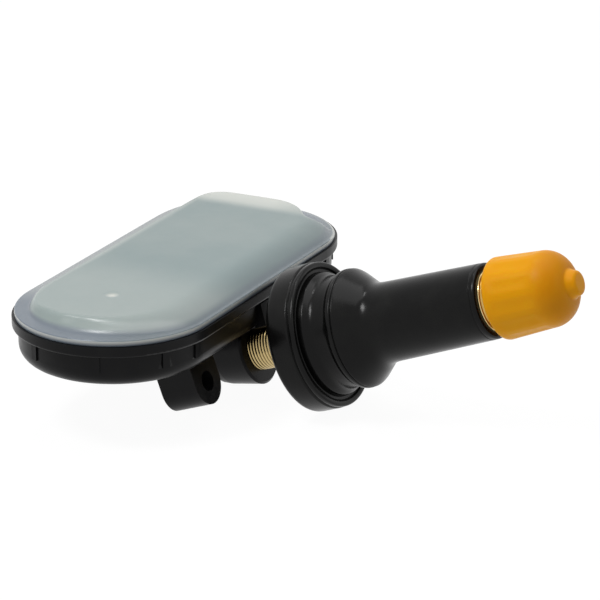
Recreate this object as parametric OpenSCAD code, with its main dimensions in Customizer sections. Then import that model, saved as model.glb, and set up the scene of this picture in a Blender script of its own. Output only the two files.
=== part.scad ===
// Snap-in tyre pressure sensor: a sealed housing with its electronics, bolted to a rubber valve stem.
// X runs with the stem towards the cap, Y along the housing, Z is square to the cover.
// The origin is on the stem's axis, in the middle of the rim seat. Stations run along the stem from
// the front ridge of the flange, positive towards the cap.

/* [Stem] */
// Angle of the stem above the cover's plane
stem_tilt = 20; // [10:0.5:30]
// Middle of the rim seat, from the front of the flange
seat_mid = 2.6; // [2:0.1:3.4]
// Radius of the rubber where the wheel rim grips it
seat_r = 7.5; // [6:0.05:7.6]
// Length of the straight rim seat
seat_length = 1.7; // [1.5:0.1:2.5]
// Radius of the flange inside the rim
flange_r = 9.8; // [8.5:0.1:11]
// Thickness of the flange
flange_thick = 4.3; // [3:0.1:5.5]
// Radius of the raised foot inside the flange's ridge
foot_r = 8.2; // [7.8:0.05:8.4]
// Station of the foot's edge
foot_edge = 0.5; // [0.3:0.1:0.8]
// Largest radius of the bulb outside the rim
bulb_r = 7.95; // [7.6:0.05:8.4]
// Length of the bulb's conical part
bulb_length = 2.95; // [2.4:0.05:4.5]
// Sleeve radius at the bulb
sleeve_root_r = 5.3; // [4.9:0.05:5.8]
// Sleeve radius at the cap
sleeve_end_r = 5.0; // [4.6:0.05:5.4]
// Station of the sleeve's end
sleeve_end = 24.5; // [22:0.1:30]
// Pitch of the cap thread
cap_pitch = 0.794; // [0.7:0.01:0.9]
// Radius of the cap thread
cap_thread_r = 3.85; // [3.6:0.01:4]
// Length of the threaded end that stands out of the rubber
cap_thread_length = 7.5; // [6:0.1:10]
// Radius of the insert's collar on the sleeve's end
collar_r = 4.65; // [4.2:0.05:4.7]
// Length of that collar
collar_length = 0.5; // [0.2:0.1:0.7]
// Radius of the insert's threaded end in the housing
insert_r = 2.86; // [2.5:0.02:3.3]
// Station of the insert's inner end
insert_end = -14.4; // [-16:0.1:-13]

/* [Cap] */
// Station of the cap's mouth
cap_mouth = 25.65; // [25:0.05:26]
// Outer radius at the mouth
cap_mouth_r = 5.43; // [5:0.01:5.8]
// Outer radius where the rounding starts
cap_top_r = 5.0; // [4.7:0.05:5.4]
// Station of the cap's flat top
cap_top = 36.0; // [34:0.1:38]
// Radius of the cap's top rounding
cap_round = 3.5; // [2:0.1:4]
// Radius of the nub's foot on the cap
nub_r = 2.0; // [1:0.1:2.5]
// Radius of the nub's front
nub_front_r = 1.3; // [0.8:0.05:1.6]
// Height of the nub
nub_height = 1.2; // [0.4:0.1:1.4]
// Number of shallow flutes round the cap
flute_count = 12; // [6:1:16]
// Radius of a flute
flute_r = 1.0; // [0.6:0.1:1.4]
// Depth of a flute
flute_depth = 0.12; // [0.06:0.02:0.2]
// Distance of the flutes from the cap's mouth
flute_inset = 1.55; // [1:0.05:3]
// Length of a flute between its round ends
flute_length = 4.6; // [3:0.1:5]
// Clearance between cap and thread
cap_play = 0.05; // [0.02:0.01:0.1]
// Thickness of the cap's gasket
gasket_thick = 1.0; // [0.6:0.1:1.5]

/* [Valve core] */
// Radius of the core's threaded plug
plug_r = 2.45; // [2.2:0.05:2.6]
// Length of the plug
plug_length = 4.2; // [3.5:0.1:5]
// Depth of the plug below the stem's mouth
plug_depth = 0.5; // [0.3:0.1:1]
// Radius of the core's barrel
barrel_r = 1.7; // [1.5:0.05:1.9]
// Length of the core's barrel
barrel_length = 7; // [6:0.1:9]
// Radius of the core's pin
pin_r = 0.5; // [0.4:0.02:0.6]
// Clearance between the pin and the plug
pin_play = 0.08; // [0.04:0.01:0.1]
// Travel of the pin
pin_travel = 1.5; // [1:0.1:2]
// Wire radius of the core's spring
core_wire_r = 0.17; // [0.12:0.01:0.2]
// Turns of the core's spring
core_turns = 5; // [4:1:7]
// Thickness of the discs on the pin
pin_disc = 0.4; // [0.3:0.05:0.6]
// Thickness of the barrel's floor
barrel_floor = 0.3; // [0.2:0.05:0.5]
// Distance of the pin's upper disc below the plug
disc_gap = 0.7; // [0.4:0.05:1]

/* [Housing] */
// Distance from the rim seat back to the cover's near edge
housing_gap = 12.35; // [11:0.05:14]
// Offset of the housing along its length
housing_offset = 0.4; // [-2:0.1:2]
// Height of the cover's seam above the rim seat
seam_height = 3.93; // [3:0.1:6]
// Half of the cover's width
cover_half_w = 13.27; // [12:0.1:15]
// Half of the cover's length
cover_half_l = 30.3; // [28:0.1:34]
// Overhang of the lip beyond the cover
lip_over = 0.35; // [0.1:0.05:0.6]
// Height of the lip
lip_height = 1.5; // [1:0.1:2.5]
// Inset of the wall below the lip
wall_inset = 0.8; // [0.4:0.1:1.5]
// Depth of the tub below the seam
tub_depth = 5.9; // [5:0.1:8]
// Rounding of the tub's bottom edge
tub_round = 2.2; // [1:0.1:3]
// Wall thickness of the tub
tub_wall = 1.2; // [1:0.1:1.8]
// Width of the tub's upright ribs
rib_width = 1; // [0.6:0.1:1.6]
// How far the ribs stand out
rib_proud = 0.2; // [0.1:0.05:0.4]

/* [Bracket] */
// Station of the boss's front face
boss_front = -11.6; // [-12.5:0.1:-11]
// Radius of the boss at its front
boss_r = 4.7; // [4:0.1:5.5]
// Radius of the boss at its back
boss_back_r = 3.9; // [3.5:0.1:4.6]
// Length of the boss
boss_length = 6.4; // [6:0.1:8]
// Distance of the pressure port from the cover's end
port_end = 16; // [15:0.1:19]
// Radius of the pressure port's snout
port_snout_r = 3.1; // [2.5:0.1:3.6]
// Length of the snout
port_snout_length = 5.4; // [4:0.1:6.5]
// Radius of the hole in the snout
port_hole_r = 1.35; // [1:0.05:1.6]
// Depth of the hole in the snout
port_hole_depth = 3.6; // [3:0.1:4.5]
// Radius of the duct from the hole up to the sensor
duct_r = 0.6; // [0.4:0.05:0.8]
// Height of the snout's axis above the stem's axis
port_lift = 0.4; // [-1:0.1:1.5]

/* [Cover] */
// Thickness of the cover's rim
cover_rim = 0.8; // [0.6:0.1:1.2]
// Height of the plateau above the seam
plateau_height = 2.2; // [1.5:0.1:3]
// Inset of the plateau from the cover's edge
plateau_inset = 2.2; // [1.5:0.1:3]
// Rounding of the plateau's edge
plateau_round = 0.7; // [0.4:0.1:1]
// Angle of the soft slope on the stem's side
slope_angle = 21; // [15:1:30]
// Fall of the steeper corner at the slope's far end, in degrees
corner_angle = 45; // [35:1:60]
// Turn of that corner's edge towards the middle, in degrees
corner_turn = 9; // [0:1:15]
// Thickness of the plateau's roof
roof_thick = 0.9; // [0.7:0.1:1.2]

/* [Electronics] */
// Thickness of the circuit board
board_thick = 0.8; // [0.6:0.1:1.2]
// Height of the board's underside above the tub's floor
board_lift = 1.5; // [1.2:0.1:2]
// Gap between the board and the tub's wall
board_gap = 0.3; // [0.15:0.05:0.6]
// Radius of the holes in the board
board_hole_r = 1; // [0.6:0.1:1.5]
// Radius of the posts under the board
post_r = 1.3; // [1:0.1:1.8]
// Radius of the coin cell
cell_r = 8; // [6:0.1:8.2]
// Thickness of the coin cell
cell_thick = 3.2; // [2.5:0.1:3.4]
// Gap between the coin cell and the board's end
cell_end = 7.85; // [6:0.05:9]
// Room round the coin cell under the cover
cell_room = 0.65; // [0.5:0.05:1]
// Wall of the cell's can
can_wall = 0.25; // [0.2:0.01:0.35]
// Wall of the ring between the cell's can and cap
cell_ring_wall = 0.5; // [0.3:0.05:0.7]
// Thickness of the cell's tabs
tab_thick = 0.2; // [0.15:0.01:0.3]
// Width of the cell's tabs
tab_width = 3.5; // [2.5:0.1:4.5]
// Side of the pressure sensor
sensor_side = 4; // [3:0.1:4.4]
// Height of the pressure sensor
sensor_height = 0.95; // [0.7:0.05:1.1]
// Side of the controller chip
controller_side = 6; // [4:0.1:7]
// Height of the controller chip
controller_height = 1.3; // [0.9:0.1:1.6]
// Width of the chip's legs
leg_width = 0.5; // [0.3:0.05:0.6]
// Length of the crystal
crystal_length = 3.2; // [2:0.1:4]
// Width of the crystal
crystal_width = 2.5; // [1.6:0.1:3]
// Height of the crystal
crystal_height = 0.8; // [0.5:0.1:1.2]
// Length of the wake-up coil
coil_length = 7.2; // [5:0.1:8]
// Width of the wake-up coil
coil_width = 2.6; // [2:0.1:3]
// Height of the wake-up coil
coil_height = 2.4; // [1.8:0.1:2.6]
// Length of the antenna strip
antenna_length = 27; // [20:0.5:30]
// Height of the antenna strip
antenna_height = 2; // [1.5:0.1:2.4]
// Thickness of the antenna strip
antenna_thick = 0.5; // [0.3:0.05:0.6]
// Length of a capacitor
capacitor_length = 1.6; // [1:0.1:2]
// Width of a capacitor
capacitor_width = 0.9; // [0.5:0.1:1.2]
// Height of a capacitor
capacitor_height = 0.8; // [0.4:0.1:1]

/* [Hidden] */
$fn = 64;
eps = 0.02;
// Stations on the stem
shoulder = seat_mid + seat_length / 2;
seat_start = seat_mid - seat_length / 2;
lip_start = shoulder + 0.65;
lip_end = lip_start + 0.3;
bulb_start = lip_end + 0.35;
bulb_end = bulb_start + bulb_length;
mouth_end = sleeve_end + cap_thread_length;
insert_step = 1.3 - flange_thick;
body_end = sleeve_end - 4.5;
groove_start = body_end + 1;
plug_top = mouth_end - plug_depth;
plug_base = plug_top - plug_length;
barrel_base = plug_base - barrel_length;
disc_base = plug_base - disc_gap - pin_disc;
needle_base = barrel_base - 2;
// Radii on and inside the insert
body_r = insert_r + 0.7;
groove_r = cap_thread_r - 0.4;
thread_bore_r = plug_r;
barrel_bore_r = barrel_r + 0.25;
air_bore_r = 1.15;
screw_r = 1.5;
screw_air_r = 0.5;
screw_head_r = 2.6;
socket_r = insert_r + 0.03;
screw_wall = 1.4;
socket_depth = boss_front - insert_end;
head_seat = insert_end - screw_wall;
head_height = 1.7;
drive_depth = 1;
screw_tip = insert_end + 5.4;
// How far a cut runs past the face it opens
cut_past = 1;
// Heights in the housing, from the seam
floor_z = -tub_depth + tub_wall;
board_z = floor_z + board_lift;
board_top = board_z + board_thick;
cell_z = board_top + tab_thick;
cell_top = cell_z + cell_thick;
roof_z = plateau_height - roof_thick;
wall_half_w = cover_half_w + lip_over - wall_inset;
wall_half_l = cover_half_l + lip_over - wall_inset;
cavity_half_w = wall_half_w - tub_wall;
cavity_half_l = wall_half_l - tub_wall;
board_half_w = cavity_half_w - board_gap;
board_half_l = cavity_half_l - board_gap;
plateau_half_w = cover_half_w - plateau_inset;
plateau_half_l = cover_half_l - plateau_inset;
side_wall = 0.95;
pocket_half_w = cell_r + cell_room;
pocket_half_l = plateau_half_l - side_wall;
pocket_x = pocket_half_w + side_wall - plateau_half_w;
slope_start = pocket_x + pocket_half_w - 0.2;
corner_start = cover_half_l - 2.25 * pocket_half_w + 2.6;
rib_turns = [7, 31, 72, 115];
cell_y = board_half_l - cell_end - cell_r;
post_x = board_half_w - 2.5 * post_r;
post_y = board_half_l - 7.5 * post_r;
controller_x = -controller_side / 4;
controller_y = -board_half_l / 3;
// Place of the housing and of the snout's axis
housing_back = housing_gap + cover_half_w;
rib_wide = 2.6;
// Middle of the boss's front in the housing's frame
boss_x = housing_back + (boss_front - seat_mid) * cos(stem_tilt);
boss_z = (boss_front - seat_mid) * sin(stem_tilt) - seam_height;
port_y = port_end - cover_half_l;
port_x = boss_x - port_lift * sin(stem_tilt);
port_mid_x = port_x - (port_hole_depth - duct_r) * cos(stem_tilt);

// Puts the children on the stem, with their Z along it and their origin at the station.
module on_stem(station) {
    rotate([0, 90 - stem_tilt, 0])
        translate([0, 0, station - seat_mid])
            children();
}

// Puts the children in the housing's frame: middle of the cover, at the seam.
module in_housing() {
    translate([-housing_back, housing_offset, seam_height])
        children();
}

// Long shape with round ends from the profile of its edge. The profile is drawn for the given half
// width, with its axis at x = 0.
module racetrack(half_w, half_l) {
    for (end = [-1, 1])
        translate([0, end * (half_l - half_w), 0])
            rotate_extrude($fn = 96)
                children();
    rotate([90, 0, 0])
        linear_extrude(height = 2 * (half_l - half_w), center = true) {
            children();
            mirror([1, 0])
                children();
        }
}

// Flat racetrack slab from z0 to z1.
module slab(half_w, half_l, z0, z1) {
    racetrack(half_w, half_l)
        translate([0, z0])
            square([half_w, z1 - z0]);
}

// Edge profile with a rounded lower corner.
module low_round_profile(half_w, z0, z1, r) {
    translate([0, z0])
        square([half_w - r, z1 - z0]);
    translate([0, z0 + r])
        square([half_w, z1 - z0 - r]);
    translate([half_w - r, z0 + r])
        circle(r = r);
}

// Edge profile with a rounded upper corner.
module high_round_profile(half_w, z0, z1, r) {
    translate([0, z0])
        square([half_w - r, z1 - z0]);
    translate([0, z0])
        square([half_w, z1 - z0 - r]);
    translate([half_w - r, z1 - r])
        circle(r = r);
}

// Ring or disc round the local axis.
module ring(outer, inner, z0, z1) {
    difference() {
        translate([0, 0, z0])
            cylinder(r = outer, h = z1 - z0);
        translate([0, 0, z0 - 1])
            cylinder(r = inner, h = z1 - z0 + 2);
    }
}

// Outside of the tub with its lip, boss, web and snout.
module tub_outside() {
    in_housing() {
        racetrack(wall_half_w, wall_half_l)
            low_round_profile(wall_half_w, -tub_depth, -lip_height + eps, tub_round);
        racetrack(cover_half_w + lip_over, cover_half_l + lip_over)
            low_round_profile(cover_half_w + lip_over, -lip_height, 0, 0.4);
        // Upright ribs round both ends
        for (end = [-1, 1], turn = rib_turns)
            translate([0, end * (wall_half_l - wall_half_w), 0])
                rotate([0, 0, end * turn])
                    translate([wall_half_w - 0.4, -rib_width / 2, -tub_depth + tub_round])
                        cube([0.4 + rib_proud, rib_width, tub_depth - tub_round - lip_height + eps]);
    }
    boss_outside();
    web();
    snout_outside();
}

// Boss round the insert's end, tapered and rounded towards its back.
module boss_outside() {
    on_stem(boss_front)
        rotate_extrude($fn = 96)
            polygon([[0, 0], [boss_r - 0.3, 0], [boss_r, -0.3], [boss_back_r, 1.6 - boss_length],
                [boss_back_r - 0.35, 0.5 - boss_length], [boss_back_r - 0.9, -boss_length],
                [0, -boss_length]]);
}

// Web that hangs the boss from the tub, and the rib down the tub's wall to the insert.
module web() {
    in_housing()
        translate([0, -housing_offset, 0])
            rotate([90, 0, 0]) {
                linear_extrude(height = 1.5 * boss_r, center = true)
                    polygon([[boss_x - 1.25, -tub_depth + 0.2], [boss_x - 0.65, boss_z + 1.4],
                        [boss_x - 0.65, boss_z], [boss_x - 5.7, boss_z - 0.8],
                        [boss_x - 6.7, boss_z + 0.8], [boss_x - 7.9, -tub_depth + 0.5],
                        [boss_x - 4.3, floor_z + 0.7]]);
                linear_extrude(height = rib_wide, center = true)
                    polygon([[wall_half_w - 0.5, -lip_height - 0.4], [wall_half_w + 0.35, -lip_height - 0.4],
                        [wall_half_w + 1.15, floor_z - 0.1], [wall_half_w - 0.5, floor_z - 0.75]]);
            }
}

// Snout of the pressure port.
module snout_outside() {
    on_stem(boss_front)
        translate([-port_lift, port_y, -port_snout_length]) {
            cylinder(r = port_snout_r, h = port_snout_length);
            translate([-5.6, -port_snout_r, 0])
                cube([5.6, 2 * port_snout_r, port_snout_length]);
        }
}

module housing_tub() {
    color([0.08, 0.08, 0.085])
        difference() {
            tub_outside();
            in_housing() {
                slab(cavity_half_w, cavity_half_l, floor_z, cut_past);
                translate([-2 * cover_half_w, -2 * cover_half_l, 0])
                    cube([4 * cover_half_w, 4 * cover_half_l, cover_half_w]);
            }
            // Socket for the insert, hole for the screw and recess for its head
            on_stem(boss_front) {
                translate([0, 0, -socket_depth])
                    cylinder(r = socket_r, h = socket_depth + cut_past);
                translate([0, 0, -boss_length - cut_past])
                    cylinder(r = screw_r + 0.03, h = boss_length + 2 * cut_past);
                translate([0, 0, -boss_length - cut_past])
                    cylinder(r = screw_head_r + 0.15, h = boss_length + cut_past - socket_depth - screw_wall);
            }
            // Hole of the port and its duct up to the sensor
            on_stem(boss_front)
                translate([-port_lift, port_y, -port_hole_depth])
                    cylinder(r = port_hole_r, h = port_hole_depth + cut_past);
            in_housing()
                translate([port_mid_x, port_y - housing_offset, -tub_depth - 4])
                    cylinder(r = duct_r, h = 8);
        }
    // Posts that carry the board
    color([0.08, 0.08, 0.085])
        in_housing()
            for (x = [-post_x, post_x], y = [-post_y, post_y])
                translate([x, y, floor_z - 0.2])
                    cylinder(r = post_r, h = board_lift + 0.2);
}

module cover() {
    color([0.66, 0.72, 0.74])
        in_housing()
            difference() {
                union() {
                    racetrack(cover_half_w, cover_half_l)
                        high_round_profile(cover_half_w, 0, cover_rim, 0.35);
                    difference() {
                        racetrack(plateau_half_w, plateau_half_l)
                            high_round_profile(plateau_half_w, 0.2, plateau_height, plateau_round);
                        slope_cut();
                        corner_cut(0);
                    }
                    slab(cavity_half_w - 0.1, cavity_half_l - 0.1, -0.9, 0.2);
                }
                slab(cavity_half_w - 0.9, cavity_half_l - 0.9, -2, eps);
                difference() {
                    translate([pocket_x, 0, 0])
                        slab(pocket_half_w, pocket_half_l, -cut_past, roof_z);
                    corner_cut(side_wall);
                }
                // Gate mark
                translate([-0.9, -cover_half_l / 2, plateau_height - 0.15])
                    cylinder(r = 0.9, h = cut_past);
            }
}

// Wedge taken off the plateau on the stem's side.
module slope_cut() {
    translate([slope_start, -2 * cover_half_l, plateau_height])
        rotate([0, slope_angle, 0])
            cube([cover_half_w, 4 * cover_half_l, 2 * plateau_height]);
}

// Steeper wedge at the far end of the stem's side, moved in by the wall's thickness.
module corner_cut(wall) {
    translate([slope_start - wall, corner_start, plateau_height])
        rotate([0, 0, corner_turn])
            rotate([0, corner_angle, 0])
                translate([0, -2 * cover_half_l, 0])
                    cube([cover_half_w, 4 * cover_half_l, 2 * plateau_height]);
}

module circuit_board() {
    color([0.05, 0.3, 0.16])
        in_housing()
            difference() {
                slab(board_half_w, board_half_l, board_z, board_top);
                for (y = [-1, 1])
                    translate([0, y * (board_half_l - 4 * board_hole_r), board_z - 1])
                        cylinder(r = board_hole_r, h = board_thick + 2);
            }
}

// Puts the children under the middle of the coin cell.
module at_cell() {
    in_housing()
        translate([pocket_x, cell_y, cell_z])
            children();
}

module battery_can() {
    color([0.78, 0.78, 0.76])
        at_cell()
            ring_cup(cell_r, cell_r - can_wall, can_wall, cell_thick - 0.15);
}

module battery_gasket() {
    color([0.12, 0.12, 0.13])
        at_cell()
            translate([0, 0, can_wall])
                ring_cup(cell_r - can_wall, cell_r - can_wall - cell_ring_wall, can_wall,
                    cell_thick - 0.15 - can_wall);
}

// Cup round the local axis: a floor of the given thickness and a wall between the two radii.
module ring_cup(outer, inner, floor_thick, height) {
    difference() {
        cylinder(r = outer, h = height);
        translate([0, 0, floor_thick])
            cylinder(r = inner, h = height);
    }
}

module battery_cap() {
    color([0.82, 0.82, 0.8])
        at_cell() {
            translate([0, 0, 2 * can_wall])
                cylinder(r = cell_r - can_wall - cell_ring_wall, h = cell_thick - 0.3 - 2 * can_wall);
            translate([0, 0, cell_thick - 0.32])
                cylinder(r = cell_r - 2 * can_wall - 1.6 * cell_ring_wall, h = 0.32);
        }
}

// Tab under the can, soldered flat to the board.
module battery_tab_plus() {
    color([0.72, 0.72, 0.7])
        in_housing()
            translate([pocket_x - tab_width / 2, cell_y - cell_r - tab_width, board_top])
                cube([tab_width, cell_r + 1.5 * tab_width, tab_thick]);
}

// Tab over the cap, bent down to the board.
module battery_tab_minus() {
    color([0.72, 0.72, 0.7])
        in_housing()
            translate([pocket_x - tab_width / 2, cell_y + cell_r + 2 * tab_thick, 0]) {
                translate([0, -cell_r - tab_width / 2, cell_top])
                    cube([tab_width, cell_r + tab_width / 2 + tab_thick, tab_thick]);
                translate([0, 0, board_top])
                    cube([tab_width, tab_thick, cell_top + tab_thick - board_top]);
                translate([0, 0, board_top])
                    cube([tab_width, tab_width / 2, tab_thick]);
            }
}

// Puts the children on the duct, with their Z up.
module at_duct() {
    in_housing()
        translate([port_mid_x, port_y - housing_offset, 0])
            children();
}

module pressure_sensor() {
    color([0.16, 0.16, 0.17])
        at_duct()
            difference() {
                translate([-sensor_side / 2, -sensor_side / 2, board_z - sensor_height])
                    cube([sensor_side, sensor_side, sensor_height]);
                translate([0, 0, board_z - 2 * sensor_height])
                    cylinder(r = duct_r, h = 1.6 * sensor_height);
            }
}

module port_seal() {
    color([0.2, 0.2, 0.21])
        at_duct()
            ring(duct_r + 0.9, duct_r + 0.15, floor_z, board_z - sensor_height);
}

module port_filter() {
    color([0.92, 0.92, 0.9])
        on_stem(boss_front)
            translate([-port_lift, port_y, -2.2])
                cylinder(r = port_hole_r, h = 0.4);
}

// Puts the children on the board, at a place given from the controller's middle.
module on_board(x, y) {
    in_housing()
        translate([controller_x + x, controller_y + y, board_top])
            children();
}

module controller_chip() {
    color([0.1, 0.1, 0.11])
        on_board(0, 0) {
            translate([-controller_side / 2, -controller_side / 2, 0.1])
                cube([controller_side, controller_side, controller_height - 0.1]);
            for (side = [-1, 1], k = [-2:2])
                translate([side * (controller_side + leg_width) / 2 - 0.6 * leg_width,
                    k * controller_side / 5 - leg_width / 2, 0])
                    cube([1.2 * leg_width, leg_width, leg_width]);
        }
}

module crystal_can() {
    color([0.75, 0.75, 0.76])
        on_board(-crystal_length, -1.5 * controller_side)
            cube([crystal_length, crystal_width, crystal_height]);
}

// Puts the children in the middle of the wake-up coil, on the board.
module at_coil() {
    on_board(controller_side, 0.75 * controller_side)
        children();
}

// Ferrite bobbin of the wake-up coil.
module coil_core() {
    bar = coil_width / 2.2;
    color([0.18, 0.18, 0.19])
        at_coil() {
            for (y = [-coil_length / 2, coil_length / 2 - coil_length / 7])
                translate([-coil_width / 2, y, 0])
                    cube([coil_width, coil_length / 7, coil_height]);
            translate([-bar / 2, 0.1 - coil_length / 2, (coil_height - bar) / 2])
                cube([bar, coil_length - 0.2, bar]);
        }
}

module coil_winding() {
    bar = coil_width / 2.2;
    wind_l = coil_length * 5 / 7;
    wind_h = coil_height - 0.2;
    color([0.72, 0.38, 0.2])
        at_coil()
            difference() {
                translate([0.2 - coil_width / 2, -wind_l / 2, 0.1])
                    cube([coil_width - 0.4, wind_l, wind_h]);
                translate([-bar / 2, -wind_l, (coil_height - bar) / 2])
                    cube([bar, 2 * wind_l, bar]);
            }
}

// Strip on two feet along the board's edge.
module antenna_loop() {
    color([0.8, 0.62, 0.28])
        in_housing()
            translate([board_half_w - 2.4 * antenna_thick, -antenna_length / 2, board_top]) {
                translate([0, 0, antenna_height / 2])
                    cube([antenna_thick, antenna_length, antenna_height / 2]);
                for (y = [0, antenna_length - antenna_thick])
                    translate([0, y, 0])
                        cube([antenna_thick, antenna_thick, 0.75 * antenna_height]);
            }
}

module chip_capacitors() {
    step = controller_side / 2.4;
    color([0.62, 0.5, 0.38])
        for (p = [[-2.8, 0], [-2.8, 1], [-2.8, 2], [2.2, -1], [2.2, -2], [3.2, -2], [0.2, -3], [1.3, -3]])
            on_board(p[0] * step, p[1] * step - step)
                cube([capacitor_length, capacitor_width, capacitor_height]);
}

module retaining_screw() {
    color([0.7, 0.7, 0.72])
        on_stem(0)
            difference() {
                union() {
                    translate([0, 0, head_seat - eps])
                        cylinder(r = screw_r, h = screw_tip - head_seat);
                    translate([0, 0, head_seat - head_height])
                        cylinder(r = screw_head_r, h = head_height);
                }
                translate([0, 0, head_seat - head_height - cut_past])
                    cylinder(r = screw_air_r, h = screw_tip - head_seat + head_height + 2 * cut_past);
                // Six-lobed drive
                translate([0, 0, head_seat - head_height - cut_past]) {
                    cylinder(r = 0.4 * screw_head_r, h = drive_depth + cut_past);
                    for (a = [0:60:300])
                        rotate([0, 0, a])
                            translate([0.42 * screw_head_r, 0, 0])
                                cylinder(r = 0.3, h = drive_depth + cut_past, $fn = 24);
                }
            }
}

// Brass insert: screw thread, air bore, core chamber and cap thread.
module brass_stem() {
    color([0.82, 0.63, 0.26])
        on_stem(0)
            rotate_extrude($fn = 96)
                polygon([[screw_r, insert_end], [insert_r - 0.25, insert_end], [insert_r, insert_end + 0.25],
                    [insert_r, insert_step], [body_r, insert_step], [body_r, body_end],
                    [groove_r, groove_start], [groove_r, sleeve_end - 0.6],
                    [cap_thread_r, sleeve_end - 0.2], [cap_thread_r, sleeve_end],
                    [collar_r, sleeve_end], [collar_r, sleeve_end + collar_length],
                    [cap_thread_r, sleeve_end + collar_length],
                    [cap_thread_r, mouth_end - 0.4], [groove_r, mouth_end],
                    [thread_bore_r + 0.15, mouth_end], [thread_bore_r, mouth_end - 0.2],
                    [thread_bore_r, plug_base - 0.2], [barrel_bore_r, plug_base - 1.0],
                    [barrel_bore_r, barrel_base - 3], [air_bore_r, barrel_base - 3.8],
                    [air_bore_r, screw_tip + 0.8], [screw_r, screw_tip + 0.5]]);
}

module rubber_stem() {
    color([0.1, 0.1, 0.1])
        on_stem(0)
            difference() {
                rotate_extrude($fn = 128)
                    polygon([[0, -flange_thick], [flange_r - 0.6, -flange_thick],
                        [flange_r - 0.18, -flange_thick + 0.18], [flange_r, -flange_thick + 0.6],
                        [flange_r, -1.05], [flange_r - 0.25, -0.9], [flange_r - 0.05, -0.7],
                        [flange_r - 0.1, -0.3], [flange_r - 0.25, 0], [flange_r - 0.65, 0],
                        [flange_r - 0.85, -0.25], [flange_r - 1.1, -0.45], [foot_r + 0.25, -0.45],
                        [foot_r + 0.05, -0.2], [foot_r, foot_edge - 0.1], [foot_r - 0.1, foot_edge],
                        [seat_r + 0.25, seat_start - 0.75], [seat_r, seat_start - 0.45], [seat_r, shoulder],
                        [seat_r + 0.1, shoulder + 0.3], [bulb_r - 0.15, lip_start - 0.15],
                        [bulb_r, lip_start],
                        [bulb_r, lip_end - 0.05], [bulb_r - 0.22, lip_end + 0.15],
                        [bulb_r - 0.05, bulb_start], [bulb_r - 0.3, bulb_start + 0.4],
                        [sleeve_root_r + 0.55, bulb_end - 0.4],
                        [sleeve_root_r + 0.15, bulb_end + 0.15], [sleeve_root_r, bulb_end + 0.8],
                        [sleeve_end_r, sleeve_end - 0.7], [sleeve_end_r - 0.1, sleeve_end - 0.25],
                        [sleeve_end_r - 0.3, sleeve_end],
                        [0, sleeve_end]]);
                // Room for the insert, bonded all round
                rotate_extrude($fn = 96)
                    polygon([[0, -flange_thick - cut_past], [insert_r, -flange_thick - cut_past],
                        [insert_r, insert_step], [body_r, insert_step], [body_r, body_end],
                        [groove_r, groove_start], [groove_r, sleeve_end - 0.6],
                        [cap_thread_r, sleeve_end - 0.2], [cap_thread_r, sleeve_end + cut_past],
                        [0, sleeve_end + cut_past]]);
            }
}

module core_plug() {
    color([0.8, 0.62, 0.3])
        on_stem(0)
            difference() {
                union() {
                    ring(plug_r, 0.9, plug_base, plug_top - 1.6);
                    translate([-0.45, -plug_r + 0.5, plug_top - 1.8])
                        cube([0.9, 2 * plug_r - 1, 1.8]);
                }
                translate([0, 0, plug_base - 1])
                    cylinder(r = pin_r + pin_play, h = plug_length + 2);
            }
}

module core_barrel() {
    color([0.8, 0.62, 0.3])
        on_stem(0)
            difference() {
                union() {
                    ring(barrel_r, barrel_r - 0.35, barrel_base, plug_base);
                    ring(barrel_r - 0.1, pin_r + 0.2, barrel_base, barrel_base + barrel_floor);
                }
                translate([-3, -0.5, barrel_base + 3.2])
                    cube([6, 1, 1.6]);
            }
}

module core_barrel_seal() {
    color([0.75, 0.2, 0.15])
        on_stem(0)
            ring(barrel_bore_r, barrel_r, plug_base - 2.6, plug_base - 1.2);
}

module core_pin() {
    color([0.82, 0.66, 0.34])
        on_stem(0) {
            translate([0, 0, needle_base])
                cylinder(r = pin_r, h = plug_top + 0.1 - needle_base);
            translate([0, 0, needle_base])
                cylinder(r = 2.2 * pin_r, h = pin_disc);
            translate([0, 0, disc_base])
                cylinder(r = 2 * pin_r, h = pin_disc);
        }
}

module core_seat_seal() {
    color([0.12, 0.12, 0.12])
        on_stem(0)
            ring(2.7 * pin_r, pin_r, needle_base + pin_disc, barrel_base);
}

module core_spring() {
    seat = barrel_base + barrel_floor;
    turn = (disc_base - seat - 2 * core_wire_r) / core_turns;
    color([0.75, 0.75, 0.77])
        on_stem(seat)
            for (k = [0:core_turns])
                translate([0, 0, k * turn + core_wire_r])
                    rotate_extrude($fn = 48)
                        translate([(barrel_r - 0.35 + pin_r) / 2, 0])
                            circle(r = core_wire_r, $fn = 16);
}

module cap_gasket() {
    color([0.15, 0.15, 0.15])
        on_stem(0)
            ring(cap_thread_r, 1.6, mouth_end, mouth_end + gasket_thick);
}

// Shallow grip flutes, parallel to the cap's tapered side.
module flutes() {
    taper = atan((cap_mouth_r - cap_top_r) / (cap_top - cap_round - cap_mouth));
    for (k = [0:flute_count - 1])
        rotate([0, 0, k * 360 / flute_count])
            translate([cap_mouth_r + flute_r - flute_depth, 0, cap_mouth])
                rotate([0, -taper, 0]) {
                    translate([0, 0, flute_inset])
                        cylinder(r = flute_r, h = flute_length, $fn = 48);
                    for (end = [flute_inset, flute_inset + flute_length])
                        translate([0, 0, end])
                            sphere(r = flute_r, $fn = 48);
                }
}

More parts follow.
